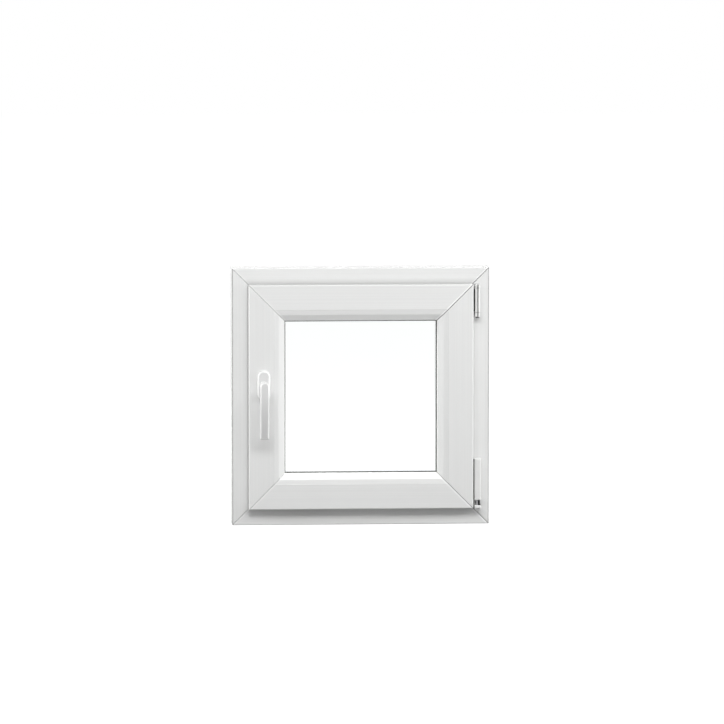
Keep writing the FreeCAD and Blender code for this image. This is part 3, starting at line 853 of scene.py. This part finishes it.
@dataclass
class Glazing:
    """The glass unit with its beads, gaskets, spacer, sealant and the spacer's breathing holes."""

    level_beads: tuple[str, ...] = ("bead_top", "bead_bottom")
    upright_beads: tuple[str, ...] = ("bead_left", "bead_right")
    spacer_height: float = 0.007
    seal_height: float = 0.0016
    seal_thickness: float = 0.0009
    seal_crease: float = 30.0
    hole_pitch: float = 0.006
    hole_length: float = 0.0016
    hole_width: float = 0.0006
    hole_proud: float = 0.00008
    hole_segments: int = 8
    hole_rings: int = 4
    hole_crease: float = 60.0
    row_inset: float = 0.0035

    def inner_square(self, bench: TreeBench, less: float) -> Socket:
        """A flat square path along the spacer's inner face.

        Args:
            bench: the tree being built.
            less: how much smaller than the clear glass it is.

        Returns:
            The path.
        """
        low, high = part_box("glass_spacer")
        side = bench.size("Clear Size", high.x - low.x - 2 * self.spacer_height - less)
        return bench.oblong(side, side)

    def beside_panes(self, bench: TreeBench, ring: Socket, inset: float) -> Socket:
        """Stand a flat ring upright beside each pane.

        Args:
            bench: the tree being built.
            ring: what is stood up.
            inset: how far it is from the pane.

        Returns:
            Both rings.
        """
        low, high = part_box("glass_spacer")
        middle = (low.z + high.z) / 2
        upright = (math.pi / 2, 0.0, 0.0)
        levels = (low.y + inset, high.y - inset)
        return bench.join(tuple(bench.move(ring, (0.0, level, middle), upright) for level in levels))

    def sealant(self, finishes: Finishes) -> None:
        """Run the dark sealant that squeezes out between spacer and panes, right round the unit.

        Args:
            finishes: the finishes to use.
        """
        bench = TreeBench("spacer_sealant")
        path = self.inner_square(bench, self.seal_height)
        thick = bench.size("Thickness", self.seal_thickness)
        # Each point of the path is a corner, where the strip stands at 45 degrees and so is taller.
        tall = bench.size("Height", self.seal_height * math.sqrt(2))
        ring = bench.sweep(path, bench.oblong(tall, thick))
        bench.finish(self.beside_panes(bench, ring, self.seal_thickness / 2), finishes.sealant)
        bench.piece("glass_sealant", Body.WINDOW, "gasket", self.seal_crease)

    def breathing_holes(self, finishes: Finishes) -> None:
        """Set two rows of fine slits along the spacer's inner face.

        Args:
            finishes: the finishes to use.
        """
        bench = TreeBench("spacer_slits")
        path = self.inner_square(bench, 0.0)
        pitch = bench.size("Pitch", self.hole_pitch)
        slit_size = (self.hole_width, self.hole_length, self.hole_proud)
        slit = bench.size("Slit Size", slit_size, "NodeSocketVector")
        points = bench.add("GeometryNodeCurveToPoints", {"Curve": path, "Length": pitch}, mode="LENGTH")
        ball = {"Segments": self.hole_segments, "Rings": self.hole_rings, "Radius": 1.0}
        dot = bench.add("GeometryNodeMeshUVSphere", ball)
        half = bench.add("ShaderNodeVectorMath", {"Vector": slit, "Scale": 0.5}, operation="SCALE")
        outward = {"Vector": points.outputs["Normal"]}
        turned = bench.add("FunctionNodeAlignRotationToVector", outward, axis="Z")
        onward = {"Rotation": turned.outputs["Rotation"], "Vector": points.outputs["Tangent"]}
        aligned = bench.add("FunctionNodeAlignRotationToVector", onward, axis="Y", pivot_axis="Z")
        row = bench.add(
            "GeometryNodeInstanceOnPoints",
            {
                "Points": points.outputs["Points"],
                "Instance": dot.outputs["Mesh"],
                "Rotation": aligned.outputs["Rotation"],
                "Scale": half.outputs["Vector"],
            },
        )
        bench.finish(self.beside_panes(bench, row.outputs["Instances"], self.row_inset), finishes.sealant)
        bench.piece("spacer_slits", Body.WINDOW, "spacer", self.hole_crease)

    def build(self, finishes: Finishes) -> None:
        """Dress the glazing's solids and add what sits between the panes.

        Args:
            finishes: the finishes to use.
        """
        dress(self.level_beads, finishes.level_profile)
        dress(self.upright_beads, finishes.upright_profile)
        dress(("glazing_gasket_room", "glazing_gasket_outdoor"), finishes.rubber)
        dress(("glass_room_pane", "glass_outdoor_pane"), finishes.glass)
        dress(("glass_spacer",), finishes.aluminium)
        self.sealant(finishes)
        self.breathing_holes(finishes)


@dataclass
class Handle:
    """The lever handle and its rosette, their bevels shaded as soft cast edges."""

    crease: float = 50.0
    merge_gap: float = 0.000001

    def soften(self, name: str, body: Body, material: bpy.types.Material) -> None:
        """Stand a merged, softly shaded copy in place of a solid.

        Args:
            name: the solid's node.
            body: what it rides on.
            material: what it is made of.
        """
        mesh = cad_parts[name].data.copy()
        own_normals = mesh.attributes.get("custom_normal")
        if own_normals is not None:
            mesh.attributes.remove(own_normals)
        cast = bmesh.new()
        cast.from_mesh(mesh)
        bmesh.ops.remove_doubles(cast, verts=cast.verts, dist=self.merge_gap)
        cast.to_mesh(mesh)
        cast.free()
        mesh.shade_smooth()
        mesh.set_sharp_from_angle(angle=math.radians(self.crease))
        mesh.materials.clear()
        mesh.materials.append(material)
        piece = put(name + "_cast", mesh)
        weighted = piece.modifiers.new("soft_edges", "WEIGHTED_NORMAL")
        weighted.keep_sharp = True
        settle(piece, body, 0.0)
        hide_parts(name)

    def build(self, finishes: Finishes) -> None:
        """Dress the handle.

        Args:
            finishes: the finishes to use.
        """
        self.soften("handle_rosette", Body.WINDOW, finishes.paint)
        self.soften("handle_lever", Body.HANDLE, finishes.paint)


@dataclass
class Hinges:
    """The upper and lower hinges, and the adjusting screw that shows in the lower one's gap."""

    covers: tuple[str, ...] = (
        "top_hinge_barrel",
        "top_hinge_upper_cap",
        "top_hinge_lower_cap",
        "bottom_hinge_cover",
        "bottom_hinge_bearing",
    )
    plates: tuple[str, ...] = ("top_hinge_bracket", "bottom_hinge_pin")
    shafts: tuple[str, ...] = ("top_hinge_arm", "top_hinge_pin", "bottom_hinge_arm")
    stud_diameter: float = 0.0030
    stud_sides: int = 20
    nut_width: float = 0.0055
    nut_height: float = 0.0030
    nut_sides: int = 6
    thread_pitch: float = 0.0008
    thread_depth: float = 0.0004
    ridge_sides: int = 4
    screw_inset: float = 0.0042
    screw_depth: float = 0.0045
    screw_crease: float = 40.0

    def prism(self, bench: TreeBench, sides: int, radius: Socket, height: Socket, middle: float) -> Socket:
        """Stand a prism on the screw's foot.

        Args:
            bench: the tree being built.
            sides: how many sides it has.
            radius: from its axis to its corners.
            height: how tall it is.
            middle: how high its centre is.

        Returns:
            The prism.
        """
        made = bench.add("GeometryNodeMeshCylinder", {"Vertices": sides, "Radius": radius, "Depth": height})
        return bench.move(made.outputs["Mesh"], (0.0, 0.0, middle))

    def thread(self, bench: TreeBench, stud: Socket, gap: float) -> Socket:
        """Stack the thread's ridges up the stud, above the nut.

        Args:
            bench: the tree being built.
            stud: the stud's radius.
            gap: how tall the stud is.

        Returns:
            The ridges.
        """
        turns = int((gap - self.nut_height) / self.thread_pitch)
        pitch = bench.size("Thread Pitch", (0.0, 0.0, self.thread_pitch), "NodeSocketVector")
        count = bench.size("Thread Turns", turns, "NodeSocketInt")
        tooth = bench.size("Thread Depth", self.thread_depth)
        ring = bench.sweep(bench.circle(self.stud_sides, stud), bench.circle(self.ridge_sides, tooth))
        first = (0.0, 0.0, self.nut_height + self.thread_pitch / 2)
        row = bench.add("GeometryNodeMeshLine", {"Count": count, "Start Location": first, "Offset": pitch})
        stack = bench.add("GeometryNodeInstanceOnPoints", {"Points": row.outputs["Mesh"], "Instance": ring})
        return stack.outputs["Instances"]

    def adjusting_screw(self, finishes: Finishes) -> None:
        """Stand the blackened screw and its nut between bearing and cover.

        Args:
            finishes: the finishes to use.
        """
        bearing_low, bearing_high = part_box("bottom_hinge_bearing")
        cover_low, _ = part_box("bottom_hinge_cover")
        gap = cover_low.z - bearing_high.z
        foot = Vector((bearing_high.x - self.screw_inset, bearing_low.y + self.screw_depth, bearing_high.z))
        bench = TreeBench("adjusting_screw")
        stud = bench.size("Stud Radius", self.stud_diameter / 2)
        reach = bench.size("Stud Length", gap)
        nut_radius = bench.size("Nut Radius", self.nut_width / math.sqrt(3))
        nut_tall = bench.size("Nut Height", self.nut_height)
        core = self.prism(bench, self.stud_sides, stud, reach, gap / 2)
        nut = self.prism(bench, self.nut_sides, nut_radius, nut_tall, self.nut_height / 2)
        screw = bench.join((core, nut, self.thread(bench, stud, gap)))
        bench.finish(bench.move(screw, foot), finishes.black_steel)
        bench.piece("bottom_hinge_adjusting_screw", Body.WINDOW, "hinge_metal", self.screw_crease)

    def build(self, finishes: Finishes) -> None:
        """Dress the hinges.

        Args:
            finishes: the finishes to use.
        """
        dress(self.covers, finishes.moulded)
        dress(self.plates, finishes.steel)
        dress(self.shafts, finishes.black_steel)
        self.adjusting_screw(finishes)


def direction(azimuth: float, elevation: float) -> Vector:
    """Unit vector from the window towards a viewer.

    Args:
        azimuth: degrees, 0 in front of the room face, positive to the right.
        elevation: degrees above level.

    Returns:
        The vector.
    """
    turn = math.radians(azimuth)
    rise = math.radians(elevation)
    return Vector((math.sin(turn) * math.cos(rise), -math.cos(turn) * math.cos(rise), math.sin(rise)))


@dataclass(frozen=True)
class Lamp:
    """One soft box."""

    name: str
    azimuth: float
    elevation: float
    width: float
    height: float
    power: float
    distance: float = 2.6

    def build(self, target: Vector) -> None:
        """Hang the lamp, facing the target.

        Args:
            target: the point it shines at.
        """
        data = bpy.data.lights.new(self.name, "AREA")
        data.shape = "RECTANGLE"
        data.size = self.width
        data.size_y = self.height
        data.energy = self.power
        lamp = put(self.name, data)
        back = direction(self.azimuth, self.elevation)
        lamp.location = target + back * self.distance
        lamp.rotation_mode = "QUATERNION"
        lamp.rotation_quaternion = (-back).to_track_quat("-Z", "Y")
        LOG.info("lamp %s", self.name)


@dataclass
class Studio:
    """A floor and surroundings that look white, soft boxes and the camera."""

    ambient: float = 0.01
    floor_size: float = 40.0
    floor_glow: float = 0.82
    floor_colour: Colour = (0.32, 0.32, 0.32)
    floor_roughness: float = 0.9
    shadow_core: float = 0.8
    shadow_reach: float = 2.4
    azimuth: float = -4.0
    elevation: float = 4.8
    distance: float = 16.0
    frame_width: float = 1.688
    aim_right: float = 0.0031
    aim_up: float = 0.0802
    sensor_width: float = 36.0
    clip_end: float = 100.0
    lamps: tuple[Lamp, ...] = (
        Lamp("top_front", azimuth=0.0, elevation=44.0, width=4.2, height=1.1, power=90.0, distance=3.0),
        Lamp("side_right", azimuth=79.0, elevation=11.0, width=0.8, height=1.4, power=40.0),
        Lamp("side_left", azimuth=-81.0, elevation=11.0, width=0.8, height=1.4, power=29.0),
        Lamp("rim_left", azimuth=-112.0, elevation=11.0, width=1.0, height=1.4, power=15.0),
        Lamp("back_top", azimuth=180.0, elevation=42.0, width=2.4, height=1.2, power=42.0),
    )

    def white_where_seen(self, bench: ShaderBench) -> Socket:
        """1 for rays that come straight, mirrored or through glass from the camera.

        Args:
            bench: the material or world being made.

        Returns:
            The value.
        """
        path = bench.add("ShaderNodeLightPath", {}).outputs
        seen = bench.combine(Operation.LARGER, path["Is Camera Ray"], path["Is Glossy Ray"])
        return bench.combine(Operation.LARGER, seen, path["Is Transmission Ray"])

    def floor(self) -> None:
        """Lay the floor: white where the camera sees it, and darker only in the window's own shadow."""
        material = bpy.data.materials.new("studio_floor")
        bench = ShaderBench(material, "ShaderNodeOutputMaterial")
        ground = bench.principled(
            Base_Color=(*self.floor_colour, 1.0), Roughness=self.floor_roughness, Specular_IOR_Level=0.0
        )
        reach = bench.add("ShaderNodeVectorMath", {0: bench.place()}, operation="LENGTH").outputs["Value"]
        fade = bench.ramp(reach, self.shadow_core, self.shadow_reach, self.floor_glow, 1.0)
        strength = bench.combine(Operation.MULTIPLY, fade, self.white_where_seen(bench))
        glow = bench.add("ShaderNodeEmission", {"Strength": strength})
        both = bench.add("ShaderNodeAddShader", {0: ground, 1: glow.outputs["Emission"]})
        bench.show(both.outputs["Shader"])
        half = self.floor_size / 2
        corners = [(-half, -half, 0), (half, -half, 0), (half, half, 0), (-half, half, 0)]
        mesh = bpy.data.meshes.new("floor")
        mesh.from_pydata(corners, [], [(0, 1, 2, 3)])
        mesh.materials.append(material)
        floor = put("floor", mesh)

    def world(self) -> None:
        """Surround the window: white to the camera, softer as light."""
        world = bpy.data.worlds.new("studio")
        bpy.context.scene.world = world
        bench = ShaderBench(world, "ShaderNodeOutputWorld")
        white = (1.0, 1.0, 1.0, 1.0)
        light = bench.add("ShaderNodeBackground", {"Color": white, "Strength": self.ambient})
        seen = bench.add("ShaderNodeBackground", {"Color": white})
        bench.choose(self.white_where_seen(bench), light.outputs["Background"], seen.outputs["Background"])

    def camera(self) -> None:
        """Set the camera at the photograph's angle."""
        data = bpy.data.cameras.new("camera")
        data.sensor_width = self.sensor_width
        data.lens = self.sensor_width * self.distance / self.frame_width
        data.clip_end = self.clip_end
        camera = put("camera", data)
        back = direction(self.azimuth, self.elevation)
        turn = (-back).to_track_quat("-Z", "Y")
        right = turn @ Vector((1.0, 0.0, 0.0))
        up = turn @ Vector((0.0, 1.0, 0.0))
        aim = front_middle() + right * self.aim_right + up * self.aim_up
        camera.location = aim + back * self.distance
        camera.rotation_mode = "QUATERNION"
        camera.rotation_quaternion = turn
        bpy.context.scene.camera = camera

    def build(self) -> None:
        """Set up the whole studio."""
        self.floor()
        self.world()
        for lamp in self.lamps:
            lamp.build(front_middle())
        self.camera()
        bpy.context.scene.view_settings.view_transform = "Standard"


def main() -> None:
    """Dress the window and set the studio."""
    logging.basicConfig(level=logging.INFO)
    finishes = Finishes()
    for assembly in (OuterFrame(), Sash(), Glazing(), Handle(), Hinges()):
        assembly.build(finishes)
        LOG.info("built %s", type(assembly).__name__)
    Studio().build()


if __name__ == "__main__":
    main()
